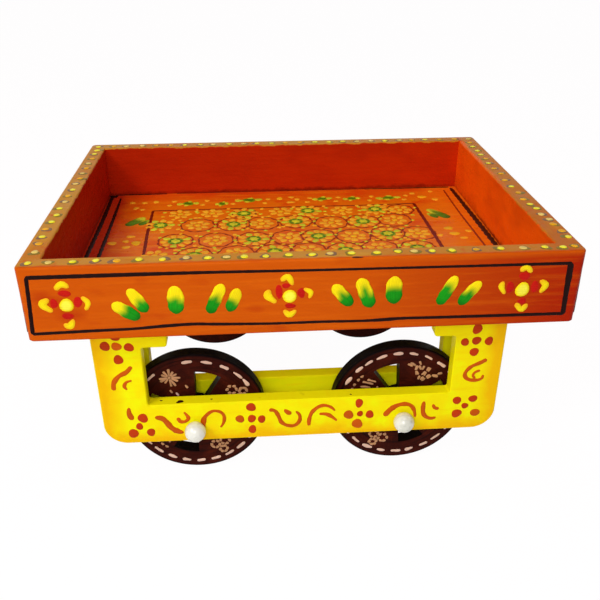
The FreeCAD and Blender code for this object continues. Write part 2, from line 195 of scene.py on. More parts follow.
class Tree:
    """The nodes of a material or of the world. What computes gives back an output socket."""

    def __init__(self, owner):
        owner.use_nodes = True
        self.owner = owner
        self.nodes = owner.node_tree.nodes
        self.links = owner.node_tree.links

    def feed(self, socket, value):
        if isinstance(value, bpy.types.NodeSocket):
            self.links.new(value, socket)
        elif socket.type == "RGBA":
            socket.default_value = (*value, 1)
        else:
            socket.default_value = value

    def node(self, kind, *values):
        """A new node, with the values fed to its first inputs."""
        node = self.nodes.new("ShaderNode" + kind)
        for socket, value in zip(node.inputs, values):
            self.feed(socket, value)
        return node

    def math(self, operation, *values):
        node = self.node("Math", *values)
        node.operation = operation
        return node.outputs[0]

    def add(self, first, second):
        return self.math("ADD", first, second)

    def both(self, first, second):
        return self.math("MULTIPLY", first, second)

    def distance(self, value, middle=0):
        """How far a place is from a middle, which is in millimetres, on either side."""
        return self.math("ABSOLUTE", self.math("SUBTRACT", value, middle * MM))

    def axes(self, vector):
        return self.node("SeparateXYZ", vector).outputs[:3]

    def noise(self, size, detail=3, source=None, shift=0):
        """Cloudy noise around 0.5, whose lumps are about size millimetres along each axis."""
        scale = [1 / MM / part for part in size]
        scaled = self.node("VectorMath", source or self.place, scale, (shift, shift * 1.7, shift * 0.6))
        scaled.operation = "MULTIPLY_ADD"
        node = self.node("TexNoise", scaled.outputs[0])
        for name, value in (("Scale", 1), ("Detail", detail), ("Roughness", 0.55)):
            node.inputs[name].default_value = value
        return node.outputs[0]

    def spread(self, value, low, high, start=0, end=1):
        """The value's place between low and high, held between start and end."""
        return self.node("MapRange", value, low, high, start, end).outputs[0]

    def span(self, value, low, high, start=0, end=1):
        """The same for a place, between a low and a high in millimetres."""
        return self.spread(value, low * MM, high * MM, start, end)

    def stretch(self, noise, start=0, end=1):
        """A noise spread over the whole way from start to end."""
        return self.spread(noise, 0.3, 0.7, start, end)

    def wobble(self, value, noise, reach, low=0.3):
        """A place that a noise, from low to 1 - low, moves to and fro by reach millimetres."""
        return self.add(value, self.spread(noise, low, 1 - low, -reach * MM, reach * MM))

    def grain(self, first, second, share=1):
        """The bumps of one noise and of a share of another."""
        return self.add(self.stretch(first), self.stretch(second, 0, share))

    def mix(self, share, first, second):
        node = self.nodes.new("ShaderNodeMix")
        node.data_type = "RGBA"
        self.feed(node.inputs[0], share)
        self.feed(node.inputs[6], first)
        self.feed(node.inputs[7], second)
        return node.outputs[2]

    def layers(self, color, *layers):
        """A colour with others brushed over it, each a share and a paint."""
        for share, paint in layers:
            color = self.mix(share, color, paint)
        return color


class Paint(Tree):
    """A material of the given name."""

    def __init__(self, name):
        super().__init__(bpy.data.materials.new(name))
        self.shader = self.nodes["Principled BSDF"]
        source = self.node("TexCoord")
        self.place = source.outputs["Object"]
        self.facing = source.outputs["Normal"]

    def broad(self, low, high):
        """1 on the broad faces of a plank, which look along Y, and 0 on its sawn edges."""
        return self.spread(self.math("ABSOLUTE", self.axes(self.facing)[Y]), low, high)

    def finish(self, color, roughness, height, depth, gloss=0.3, coat=0, coat_roughness=0.1):
        """Depth is the height of the bumps in millimetres."""
        bump = self.node("Bump")
        bump.inputs["Distance"].default_value = depth * MM
        self.feed(bump.inputs["Height"], height)
        for name, value in (
            ("Base Color", color),
            ("Roughness", roughness),
            ("Normal", bump.outputs[0]),
            ("Specular IOR Level", gloss),
            ("Coat Weight", coat),
            ("Coat Roughness", coat_roughness),
        ):
            self.feed(self.shader.inputs[name], value)
        return self.owner


def wall_material(name, brush, left, right, right_shade):
    """Tray boards: orange outside, tan on the rim, and red inside, darker on the left and lighter to the
    right: painted shade and painted light.

    Brush is the strokes' size. The last argument is the share of a darker red at the outside's right end, a
    painted shade.
    """
    tree = Paint(name)
    x, y, z = tree.axes(tree.place)
    streaks = tree.noise(brush, 4)
    lumps = tree.noise((7, 7, 5), shift=3)
    clouds = tree.noise((38, 38, 20), 2, shift=7)
    wide = tree.span(x, INNER_LEFT, INNER_RIGHT)

    lip = tree.both(tree.span(z, RIM_TOP - 4, RIM_TOP - 1), tree.span(x, -60, 100, 0, 0.4))
    outside = tree.layers(
        ORANGE_LEFT,
        # Painted shade: the outside turns a darker red towards its right end, as the light falls from the
        # left.
        (tree.span(x, 20, 150, 0, right_shade), ORANGE_SHADED_RIGHT),
        (tree.spread(streaks, 0.50, 0.78, 0, 0.4), ORANGE_STREAK),
        (tree.spread(clouds, 0.42, 0.28, 0, 0.6), ORANGE_DEEP),
        (lip, ORANGE_STREAK),
        (tree.span(z, TRAY_FOOT + 1.2, TRAY_FOOT + 0.2, 0, 0.6), ORANGE_DEEP),
    )
    # Painted shade: the inner faces turn rust red, in patches, just above the floor where they meet it.
    crease_shade = tree.span(tree.wobble(z, lumps, 1.2), FLOOR_TOP + 2.8, FLOOR_TOP + 0.8, 0, 0.9)
    # Painted shade and painted light: the inside goes from a darker red on the left to a lighter red on the
    # right, as the light falls from the left.
    inside = tree.layers(
        left,
        (wide, right),
        (tree.spread(clouds, 0.54, 0.32, 0, 0.26), RED_WALL_DEEP),
        (tree.both(crease_shade, tree.spread(clouds, 0.34, 0.6, 0.25, 1)), RUST),
    )
    # The rim's right end is darker towards the front.
    right_rim_darkening = tree.both(tree.spread(wide, 0.97, 1), tree.span(y, 30, -90, 0, 0.3))
    overlap = tree.both(
        tree.span(x, INNER_RIGHT - 0.6, INNER_RIGHT - 0.2),
        tree.span(tree.wobble(x, clouds, 1.6, 0.35), INNER_RIGHT + 2.6, INNER_RIGHT + 1.4, 0, 0.8),
    )
    rim = tree.layers(
        RIM_TAN,
        (tree.spread(clouds, 0.46, 0.68, 0, 0.7), RIM_ORANGE),
        (tree.spread(wide, 0.55, 1, 0, 0.6), RIM_ORANGE),
        (tree.spread(streaks, 0.56, 0.8, 0, 0.5), GOLD),
        (right_rim_darkening, ORANGE_DEEP),
        (tree.both(overlap, tree.span(y, -30, 50)), right),
    )
    middle, half = (INNER_LEFT + INNER_RIGHT) / 2, (INNER_RIGHT - INNER_LEFT) / 2
    within = tree.both(
        tree.span(tree.distance(x, middle), half + 0.7, half + 0.3),
        tree.span(tree.distance(y), INNER_Y + 0.7, INNER_Y + 0.3),
    )
    top = tree.both(
        tree.span(tree.wobble(z, lumps, 0.7), RIM_TOP - 0.9, RIM_TOP - 0.4),
        tree.span(tree.wobble(y, lumps, 0.7), FRONT_FACE + 1.4, FRONT_FACE + 3.2),
    )
    color = tree.layers(outside, (within, inside), (top, rim))
    rough = tree.stretch(tree.noise((12, 12, 6), shift=11), 0.24, 0.44)
    return tree.finish(color, rough, tree.grain(streaks, lumps, 0.9), 0.16, gloss=0.03)


def floor_material():
    """Tray floor: ochre between redder edges above, with the left wall's shadow painted in crimson beside it,
    and plain primer below.
    """
    end_margin, side_margin = 29, 24
    tree = Paint("tray_floor_paint")
    x, y, z = tree.axes(tree.place)
    streaks = tree.noise((34, 4, 10), 4)
    lumps = tree.noise((5, 5, 5), shift=3)
    clouds = tree.noise((24, 18, 20), 2, shift=7)
    past_end = tree.math("SUBTRACT", tree.distance(x), (INNER_RIGHT - end_margin) * MM)
    past_side = tree.math("SUBTRACT", tree.distance(y), (INNER_Y - side_margin) * MM)
    edge = tree.wobble(tree.math("MAXIMUM", past_end, past_side), clouds, 12)
    color = tree.layers(
        FLOOR_OCHRE,
        (tree.span(edge, -6, 26, 0, 0.85), FLOOR_RED),
        (tree.spread(clouds, 0.42, 0.28, 0, 0.75), FLOOR_RED),
        (tree.spread(streaks, 0.52, 0.75, 0, 0.55), FLOOR_LIGHT),
        (tree.span(x, 98, 118, 0, 0.34), FLOOR_LIGHT),
        # Painted shadow: a crimson band along the floor beside the left wall.
        (tree.span(tree.wobble(x, clouds, 3), -123, -131, 0, 0.9), FLOOR_WALL_SHADOW),
    )
    upper = tree.span(z, FLOOR_TOP - 0.6, FLOOR_TOP - 0.2)
    color = tree.mix(upper, tree.mix(streaks, PRIMER, PRIMER_DARK), color)
    rough = tree.stretch(tree.noise((12, 12, 6), shift=11), 0.22, 0.42)
    return tree.finish(color, rough, tree.grain(streaks, lumps, 0.7), 0.12, gloss=0.05)


def board_material(name, yellow, shading):
    """Side boards: yellow, with amber brushed along the ends and the foot of the broad faces, and a greener
    yellow with darker patches on the sawn edges, a painted shade.
    """
    tree = Paint(name)
    x, _, z = tree.axes(tree.place)
    streaks = tree.noise((5, 20, 26), 4)
    level_streaks = tree.noise((34, 20, 4), 4, shift=5)
    clouds = tree.noise((16, 16, 16), shift=7)

    middle, half = (BOARD_LEFT + BOARD_RIGHT) / 2, (BOARD_RIGHT - BOARD_LEFT) / 2
    reach = tree.wobble(tree.distance(x, middle), clouds, 4, 0.25)
    ends = tree.span(reach, half - 14, half - 4, 0, shading)
    foot = tree.span(tree.wobble(z, clouds, 4, 0.25), BOARD_FOOT + 12, BOARD_FOOT + 2, 0, shading)
    face = tree.layers(
        yellow,
        (tree.spread(clouds, 0.45, 0.7), BOARD_LEMON),
        (tree.spread(level_streaks, 0.55, 0.8, 0, 0.35), BOARD_AMBER),
        (tree.math("MAXIMUM", ends, foot), BOARD_AMBER),
    )
    # Painted shade: the sawn edges, the bar tops and window sides among them, are a greener yellow with
    # darker patches.
    edge = tree.layers(
        BOARD_EDGE_SHADE_OLIVE,
        (tree.spread(streaks, 0.5, 0.75, 0, 0.6), BOARD_YELLOW),
        (tree.spread(clouds, 0.36, 0.22, 0, 0.8), BOARD_EDGE_SHADE_DARK),
    )
    color = tree.mix(tree.broad(0.6, 0.9), edge, face)
    rough = tree.stretch(tree.noise((9, 9, 9), shift=11), 0.34, 0.52)
    return tree.finish(color, rough, tree.grain(streaks, level_streaks), 0.12, gloss=0.03)


def wheel_material(corner):
    """Wheels: brown faces brushed round the hub, black tread and window edges."""
    tree = Paint("wheel_paint_" + corner)
    x, _, z = tree.axes(tree.place)
    right = tree.math("SUBTRACT", x, WHEEL_PLACES[corner][X] * MM)
    up = tree.math("SUBTRACT", z, WHEEL_PLACES[corner][Z] * MM)
    far = tree.math("SQRT", tree.add(tree.both(right, right), tree.both(up, up)))
    slow = [tree.span(way, -44, 44, 0, 20 * MM) for way in (right, up)]
    streaks = tree.noise((1.6, 9, 9), source=tree.node("CombineXYZ", far, *slow).outputs[0])
    clouds = tree.noise((11, 11, 11), shift=5)
    face = tree.layers(
        WHEEL_BROWN,
        (tree.spread(clouds, 0.45, 0.7), WHEEL_RED),
        (tree.spread(streaks, 0.5, 0.3, 0, 0.7), WHEEL_BLACK),
        (tree.span(far, 41.9, 43.2, 0, 0.8), WHEEL_BLACK),
    )
    color = tree.mix(tree.broad(0.75, 0.95), WHEEL_BLACK, face)
    rough = tree.stretch(tree.noise((8, 8, 8), shift=9), 0.34, 0.56)
    return tree.finish(color, rough, tree.grain(streaks, clouds), 0.12, gloss=0.03)


def bead_material():
    tree = Paint("bead_gloss")
    clouds = tree.noise((6, 9, 6))
    rings = tree.noise((60, 1.3, 60), 2, shift=4)
    shares = tree.spread(clouds, 0.5, 0.72), tree.spread(rings, 0.56, 0.74, 0, 0.5)
    color = tree.layers(BEAD_WHITE, *((share, BEAD_GREY) for share in shares))
    rough, bumps = tree.stretch(clouds, 0.16, 0.32), tree.grain(rings, clouds)
    return tree.finish(color, rough, bumps, 0.12, gloss=0.5, coat=0.3, coat_roughness=0.06)


def pin_material():
    tree = Paint("pin_wood")
    fibres = tree.noise((0.8, 22, 0.8), 4)
    clouds = tree.noise((5, 12, 5), 2, shift=4)
    color = tree.mix(tree.spread(fibres, 0.4, 0.66), PIN_WOOD, PIN_DARK)
    return tree.finish(color, tree.stretch(clouds, 0.45, 0.62), fibres, 0.08)


def stroke_material():
    """Thick enamel of the painted marks: its colour is kept in the mesh, streaked along the stroke."""
    tree = Paint("brushed_enamel")
    paint = tree.node("Attribute")
    paint.attribute_name = "paint"
    track = tree.node("Attribute")
    track.attribute_name = "track"
    bristles = tree.noise((9, 0.55, 5), source=track.outputs["Vector"])
    clouds = tree.noise((2.2, 2.2, 2.2), 2)
    shade = tree.node("HueSaturation")
    tree.feed(shade.inputs["Value"], tree.stretch(bristles, 0.8, 1.12))
    tree.feed(shade.inputs["Color"], paint.outputs["Color"])
    rough = tree.stretch(clouds, 0.26, 0.42)
    return tree.finish(shade.outputs[0], rough, tree.grain(bristles, clouds, 0.6), 0.1, gloss=0.06)


class Face:
    """A flat face of the cart: millimetres across and up on it, to metres in space."""

    def __init__(self, origin, across, up):
        self.origin, self.across, self.up = Vector(origin), Vector(across), Vector(up)
        self.out = self.across.cross(self.up)

    def at(self, right, high, rise):
        return (self.origin + self.across * right + self.up * high + self.out * rise) * MM


def level_face(height):
    """A face that looks up, with right along X and high along Y."""
    return Face((0, 0, height), (1, 0, 0), (0, 1, 0))


def upright_face(origin, across):
    return Face(origin, across, (0, 0, 1))


class Strokes:
    """Raised paint marks on one face, kept as one mesh of closed shapes."""

    # How far a mark's edge is sunk into its face, in millimetres.
    SINK = -0.1
    # A stroke's section: shares of its half width and of its rise. None is the sunken edge.
    SECTION = ((-1, None), (-0.72, 0.66), (0, 1), (0.72, 0.66), (1, None))
    # A dot's rings, in the same shares, round its tip.
    RINGS = ((1, None), (0.86, 0.5), (0.5, 0.9))
    SEGMENTS = 14
    # Strokes thinner than this are flatter too.
    FULL_WIDTH = 1.2

    def __init__(self, name, face, slot, body="cart"):
        self.name, self.face, self.body, self.slot = name, face, body, slot
        self.random = random.Random(name)
        self.some = self.random.uniform
        self.points, self.faces, self.paints, self.tracks = [], [], [], []

    def add(self, right, high, rise, paint, track):
        self.points.append(self.face.at(right, high, self.SINK if rise is None else rise))
        self.paints.append((*paint, 1))
        self.tracks.append((track[0] * MM, track[1] * MM, 0))
        return len(self.points) - 1

    def varied(self, paint, share=0.1):
        factor = self.some(1 - share, 1 + share)
        return tuple(min(1, part * factor) for part in paint)

    def dot(self, right, high, size, paint, rise=0.35, turn=0, ragged=0.05, middle=None):
        """A round drop of paint. Size is its width, or its width and height. Turn is in degrees."""
        wide, tall = size if isinstance(size, tuple) else (size, size)
        paint = self.varied(paint)
        middle = paint if middle is None else self.varied(middle)
        waves = [(n, self.some(0, tau), self.some(0.3, 1) * ragged) for n in (1, 2, 3)]
        cosine, sine = cos(radians(turn)), sin(radians(turn))
        rings = []
        for reach, share in self.RINGS:
            ring = []
            for k in range(self.SEGMENTS):
                angle = tau * k / self.SEGMENTS
                wave = 1 + sum(swell * cos(n * angle + start) for n, start, swell in waves)
                u = wide / 2 * reach * wave * cos(angle)
                v = tall / 2 * reach * wave * sin(angle)
                height = None if share is None else rise * share
                color = paint if reach > 0.6 else middle
                across, along = u * cosine - v * sine, u * sine + v * cosine
                ring.append(self.add(right + across, high + along, height, color, (u, v)))
            rings.append(ring)
        tip = self.add(right, high, rise, middle, (0, 0))
        for outer, inner in zip(rings, rings[1:]):
            for k in range(self.SEGMENTS):
                after = (k + 1) % self.SEGMENTS
                self.faces.append((outer[k], outer[after], inner[after], inner[k]))
        for k in range(self.SEGMENTS):
            self.faces.append((rings[-1][k], rings[-1][(k + 1) % self.SEGMENTS], tip))
        self.faces.append(tuple(reversed(rings[0])))

    def line(self, path, paint, rise=0.25, step=1.4, ragged=0.08, shade=None):
        """A brush stroke through (right, high, width) points. Shade gives a paint for a share and side."""
        spots = self.sample(path, step)
        paint = self.varied(paint)
        phase = self.some(0, tau)
        travelled = 0
        before = None
        rows = []
        for index, (u, v, width, share) in enumerate(spots):
            ahead = spots[min(index + 1, len(spots) - 1)]
            behind = spots[max(index - 1, 0)]
            run = Vector((ahead[0] - behind[0], ahead[1] - behind[1])).normalized()
            if before is not None:
                travelled += hypot(u - before[0], v - before[1])
            before = (u, v)
            wave = 1 + ragged * sin(phase + travelled * 0.9) + ragged * self.some(-0.5, 0.5)
            row = []
            for side, part in self.SECTION:
                reach = side * width / 2 * wave
                color = paint if shade is None else shade(share, side)
                height = None if part is None else rise * part * min(1, width / self.FULL_WIDTH)
                row.append(self.add(u - run.y * reach, v + run.x * reach, height, color, (travelled, reach)))
            rows.append(row)
        for row, after in zip(rows, rows[1:]):
            for k in range(len(row) - 1):
                self.faces.append((row[k + 1], row[k], after[k], after[k + 1]))
            self.faces.append((row[0], row[-1], after[-1], after[0]))
        self.faces.append(tuple(rows[0]))
        self.faces.append(tuple(reversed(rows[-1])))

    @staticmethod
    def sample(path, step):
        """Even spots on a smooth curve through the path, with rounded ends: (right, high, width, share)."""
        first = tuple(2 * a - b for a, b in zip(path[0], path[1]))
        last = tuple(2 * a - b for a, b in zip(path[-1], path[-2]))
        knots = [first, *path, last]
        dense = []
        for p, q, r, s in zip(knots, knots[1:], knots[2:], knots[3:]):
            for k in range(16):
                t = k / 16
                dense.append(tuple(
                    0.5 * (2 * b + (c - a) * t + (2 * a - 5 * b + 4 * c - d) * t * t
                           + (3 * b - a - 3 * c + d) * t ** 3)
                    for a, b, c, d in zip(p, q, r, s)
                ))
        dense.append(path[-1])
        runs = [0]
        for a, b in zip(dense, dense[1:]):
            runs.append(runs[-1] + hypot(b[0] - a[0], b[1] - a[1]))
        total = runs[-1]
        cap = min(total * 0.4, (path[0][2] + path[-1][2]) / 4)
        count = max(3, round((total - 2 * cap) / step))
        marks = [cap * (1 - cos(pi / 2 * k / 3)) for k in range(3)]
        marks += [cap + (total - 2 * cap) * k / count for k in range(count + 1)]
        marks += [total - mark for mark in reversed(marks[:3])]
        spots, index = [], 0
        for mark in marks:
            while index < len(runs) - 2 and runs[index + 1] < mark:
                index += 1
            t = (mark - runs[index]) / max(runs[index + 1] - runs[index], 1e-9)
            u, v, width = (a + (b - a) * t for a, b in zip(dense[index], dense[index + 1]))
            near = min(mark, total - mark)
            if near < cap:
                width *= max(0.16, sqrt(max(0, 1 - (1 - near / cap) ** 2)))
            spots.append((u, v, width, mark / total))
        return spots

    def leaf(self, start, end, width, share, paint, other, rise=0.3, bend=0):
        """A two-tone leaf stroke from start to end. Share is the part that has the other paint."""
        run = Vector((end[0] - start[0], end[1] - start[1]))
        side = Vector((-run.y, run.x)) * bend
        middle = ((start[0] + end[0]) / 2 + side.x, (start[1] + end[1]) / 2 + side.y)
        ragged = {part[0]: self.some(-0.12, 0.12) for part in self.SECTION}
        paint, other = self.varied(paint), self.varied(other)

        def shade(along, across):
            tongue = 0.14 * (1 - abs(across)) - 0.05
            part = (along - (1 - share) + ragged[across] + tongue) / 0.24 + 0.5
            part = min(1, max(0, part))
            deep = 0.72 if abs(across) > 0.9 and part > 0.5 else 1
            deep *= 1 - 0.45 * max(0, along - 0.78) / 0.22
            return tuple(value * deep for value in blend(paint, other, part))

        path = [(*start, width * 0.8), (*middle, width), (*end, width * 0.86)]
        self.line(path, paint, rise, step=1, ragged=0.04, shade=shade)

    def build(self):
        mesh = bpy.data.meshes.new(self.name)
        mesh.from_pydata(self.points, [], self.faces)
        mesh.polygons.foreach_set("use_smooth", [True] * len(mesh.polygons))
        paints = mesh.color_attributes.new("paint", "FLOAT_COLOR", "POINT")
        paints.data.foreach_set("color", [part for paint in self.paints for part in paint])
        tracks = mesh.attributes.new("track", "FLOAT_VECTOR", "POINT")
        tracks.data.foreach_set("vector", [part for track in self.tracks for part in track])
        mesh.materials.append(ENAMEL)
        piece = add_object(self.name, mesh)
        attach(piece, self.body)


# Flowers on the tray's outer faces, about their middles: yellow middle, yellow crescents as three
# points and a width, and red petals as a middle, a width and a height.
FLOWERS = (
    (
        (8, 8.5),
        (
            ((-9.1, 4.3), (-13, 0.7), (-8, -3.9), 3.5),
            ((9, 5), (12, 1.1), (10.3, -3.6), 2.6),
            ((-4.7, 10), (-0.8, 13.2), (3.1, 11.1), 3.1),
            ((-3.3, -12.2), (-0.1, -13.6), (2.8, -9.3), 3.2),
        ),
        ((-6.2, 1.1, 4.3, 6.4), (6.3, 1.4, 5, 7), (-0.1, 7, 7.5, 4.3), (-0.1, -6.8, 7, 4)),
    ),
    (
        (8, 8.5),
        (
            ((-11.3, 4.6), (-12.4, 0.7), (-7.8, -3.9), 3.6),
            ((8, 4.6), (11.9, 2.1), (11.2, -1.8), 2.4),
            ((-4.9, 10), (-1, 12.5), (1.9, 7.1), 3),
            ((-3.5, -8.9), (-0.3, -12.1), (3.7, -9.3), 3),
        ),
        ((-5.8, 2.9, 4, 9.6), (6.2, 1.8, 4.4, 7), (0.2, -6.1, 6.4, 3.4), (-1.9, 6.5, 5, 3.4)),
    ),
    (
        (8.6, 9.3),
        (
            ((-11.8, 5.5), (-12.8, 2.3), (-10.3, -2.7), 2.7),
            ((9.7, 5.5), (13.2, 2.3), (10.7, -2.7), 3.2),
            ((-3.2, 12), (0.4, 14.1), (3.9, 10.9), 3),
            ((-2.8, -9.1), (1.1, -13.4), (4.3, -9.8), 3),
        ),
        ((-7.1, 1.3, 4.5, 8), (6.8, 1.3, 4.5, 8), (-0.1, 8, 7, 5), (0.7, -7.5, 6, 4)),
    ),
)
# On the long faces and on the end faces: which flower, and its middle.
LONG_FLOWERS = ((0, -128.6, 140.4), (1, -9.5, 141.2), (2, 119.4, 140.5))
END_FLOWERS = ((2, -90, 140.1), (0, 1, 140.7), (1, 91, 139.9))

# Leaves: yellow end, green end, width, green share.
LONG_LEAVES = (
    ((-104.6, 140.4), (-90.9, 130.7), 8.4, 0.55),
    ((-95.2, 148.8), (-86.8, 134.6), 7.8, 0.42),
    ((-71, 149.8), (-71.2, 132.8), 10, 0.50),
    ((-45.4, 150), (-53.5, 132.5), 7.6, 0.46),
    ((-37.2, 147), (-42.9, 133.2), 7.2, 0.52),
    ((14.2, 147.2), (24.4, 134.2), 8, 0.56),
    ((28.6, 150.6), (35.2, 132.6), 9, 0.52),
    ((47.6, 151.2), (48, 134.3), 10.2, 0.52),
    ((81.4, 150.1), (72.8, 132.8), 7.6, 0.58),
    ((95.4, 146.2), (84.6, 132.2), 7.4, 0.50),
)
END_LEAVES = (
    ((-68, 139.4), (-56.5, 130.9), 7.4, 0.52),
    ((-58.5, 148.9), (-50.5, 134.4), 6.8, 0.42),
    ((-37.5, 149.9), (-37.5, 132.5), 8.8, 0.50),
    ((-19.5, 147.9), (-24, 133.1), 6.8, 0.46),
    ((22, 147.4), (28.5, 133.5), 6.8, 0.52),
    ((42, 150.3), (42, 132.7), 8.8, 0.48),
    ((64.5, 148.9), (58.5, 132.7), 7, 0.50),
)

# The black line round each outer face, stroke by stroke, with its width at each point.
LONG_OUTLINE = (
    ((-147.2, 157.3, 2.8), (-93.8, 157.3, 2.7), (-49, 157.1, 2.1), (-1.4, 156.5, 1.8),
     (50, 156.1, 1.7), (99.2, 155.8, 1.9), (144.8, 155.6, 2.3)),
    ((-146.6, 157.6, 2.5), (-147.8, 140.1, 2.5), (-149, 123.1, 2.5)),
    ((-149.2, 123.3, 2.2), (-117.7, 124, 2.2), (-95, 124.4, 2), (-77, 125.5, 2.4), (-62, 126, 2.2),
     (-49.1, 125.4, 2.2), (-18.4, 124.5, 1.9), (7.3, 124.5, 2), (30, 124.1, 1.9), (44, 124.4, 2.6),
     (54.7, 124.8, 2.1), (81.3, 124.5, 2.2), (145.6, 124.1, 2.4)),
    ((144.1, 156, 3.8), (144.4, 148, 4.2), (144.6, 137.4, 3.4), (145.1, 123.6, 3.2)),
)
END_OUTLINE = (
    ((-108.4, 156.9, 2.6), (-50, 157.2, 2.6), (10, 156.6, 2.3), (60, 156.1, 2.2), (108, 156.3, 2.4)),
    ((-107.8, 157.3, 2.5), (-108.6, 139.9, 2.5), (-109, 122.9, 2.5)),
    ((-109.2, 123.3, 2.2), (-60, 124, 2.2), (-12, 123.4, 2.2), (44, 124.2, 2), (109, 123.5, 2.3)),
    ((107.6, 156.8, 2.9), (107.9, 138.9, 2.8), (108.6, 122.9, 2.8)),
)


def ripe(along, across):
    """A crescent's paint: yellow in its middle, and golden at the tips and the edges."""
    return blend(GOLD, YELLOW, max(0, sin(pi * along) * (1.15 - 0.5 * abs(across))))


def paint_tray_side(name, face, outline, flowers, leaves):
    lines = Strokes(name + "_outline", face, "tray_paint")
    for path in outline:
        lines.line(path, BLACK, rise=0.22, step=2.6, ragged=0.05)
    lines.build()

    blooms = Strokes(name + "_flowers", face, "tray_paint")
    for kind, right, high in flowers:
        middle, crescents, petals = FLOWERS[kind]
        for u, v, wide, tall in petals:
            blooms.dot(right + u, high + v, (wide, tall), PETAL_RED, rise=0.2, ragged=0.09)
        for *points, width in crescents:
            path = [
                (right + u * 0.95, high + v * 0.95, width * part)
                for (u, v), part in zip(points, (0.95, 1.35, 0.85))
            ]
            blooms.line(path, YELLOW, rise=0.34, step=0.9, shade=ripe)
        blooms.dot(right, high, middle, YELLOW, rise=0.5, middle=LEMON)
    blooms.build()

    foliage = Strokes(name + "_leaves", face, "tray_paint")
    for start, end, width, share in leaves:
        foliage.leaf(start, end, width, share, YELLOW, LEAF_GREEN, bend=foliage.some(-0.03, 0.03))
    foliage.build()


# Dots on the rim: places along the front wall, and right and back on the end walls.
FRONT_RIM_DOTS = (
    -146.3, -135.7, -123.2, -111.3, -100.3, -88.8, -76.4, -64, -52.5, -42.6, -33.2, -21.8, -9.4, 3,
    12.9, 24.3, 38.1, 49.5, 58.4, 68.2, 79.1, 92.4, 106.2, 118.5, 130.7, 140.6, 147.4,
)
END_RIM_DOTS = {
    "left": (
        (-146.1, -92), (-146.6, -80.9), (-147.2, -71.2), (-148, -60), (-147, -49),
        (-146.6, -38), (-147.2, -27), (-146.4, -15.5), (-146.9, -4.5), (-146.2, 7),
        (-146.8, 18.5), (-146, 30), (-146.5, 41), (-146.1, 52.5), (-146.6, 63.5), (-146, 75),
        (-146.4, 86.5), (-146, 96),
    ),
    "right": (
        (149, -93), (148.6, -84.5), (147.6, -74.4), (148.1, -66.7), (146.1, -58.5), (147, -48.8),
        (145.4, -41.5), (144.3, -32.5), (145.3, -20.2), (144.6, -8.5), (144.4, 4.5), (146.2, 18.6),
        (145, 30), (144.4, 42), (145.8, 53), (144.9, 63), (145.3, 73), (144.8, 84),
        (145.6, 95),
    ),
}
BACK_RIM_SPACING = 11.3
RIM_MIDDLE = 105.8
SMUDGE_REACH = END_FACE - 4.4
# The dark chip at the front edge.
RIM_CHIP = 26.5


def rim_dot(rim, right, high):
    """A dot on a dark smudge, which is kept on the rim."""
    drift = rim.some(-1.2, 1.2), rim.some(-1.4, 0.4)
    smudge = OLIVE if rim.random.random() < 0.6 else GREY_VIOLET
    spot = max(-SMUDGE_REACH, min(SMUDGE_REACH, right + drift[0])), high + drift[1]
    rim.dot(*spot, (6.8, 5.8), smudge, rise=0.12, ragged=0.18)
    pale = rim.random.random()
    paint = YELLOW if pale < 0.55 else (GOLD if pale < 0.75 else PALE_YELLOW)
    size = rim.some(4, 5), rim.some(3.8, 4.8)
    rim.dot(right, high, size, paint, rise=0.42, middle=LEMON if paint is YELLOW else paint)


def paint_rim():
    face = level_face(RIM_TOP)
    rim = Strokes("rim_dots_front", face, "tray_paint")
    for right in FRONT_RIM_DOTS:
        rim_dot(rim, right, rim.some(-0.6, 0.6) - RIM_MIDDLE)
    rim.dot(RIM_CHIP, FRONT_FACE + 0.9, (6, 1.6), DARK_BROWN, rise=0.12, ragged=0.2)
    rim.build()
    rim = Strokes("rim_dots_back", face, "tray_paint")
    for k in range(-13, 14):
        rim_dot(rim, k * BACK_RIM_SPACING + rim.some(-1, 1), RIM_MIDDLE + rim.some(-0.6, 0.6))
    rim.build()
    for name, spots in END_RIM_DOTS.items():
        rim = Strokes("rim_dots_" + name, face, "tray_paint")
        for spot in spots:
            rim_dot(rim, *spot)
        rim.build()


# Rosettes of the floor: right, back, and whether it is a green one.
ROSETTES = (
    (-81.8, 4.2, 1), (-54.1, 4.2, 0), (-27.9, 4.2, 1), (-3.6, 5.2, 0), (17.1, 6.1, 1), (41.8, 4.2, 0),
    (66.4, 7.1, 1), (88, 6.1, 0), (-95, 33.9, 1), (-68.2, 31.9, 0), (-42.4, 31.9, 1),
    (-21.7, 31.9, 0), (3, 33.9, 1), (28.7, 29.9, 0), (52.3, 30.8, 1), (75.9, 31.8, 0),
    (-82.2, 54.7, 0), (-58.5, 54.7, 0), (-34.7, 52.7, 1), (-7.1, 54.6, 0), (13.6, 54.6, 1),
    (39.3, 53.6, 0), (64.8, 54.5, 1), (83.5, 51.5, 0), (-93.6, -18.7, 0), (-67.8, -19.6, 1),
    (-40, -18.6, 0), (-14.3, -17.6, 1), (8.5, -17.6, 0), (33.2, -18.6, 1), (56.8, -16.6, 0),
    (82.4, -18.6, 1), (-81.5, -43.5, 1), (-53.7, -43.5, 0), (-27.9, -44.5, 1), (-2.2, -43.4, 0),
    (21.6, -43.4, 1), (45.3, -44.4, 0), (69, -43.4, 1), (88.7, -43.3, 0),
)
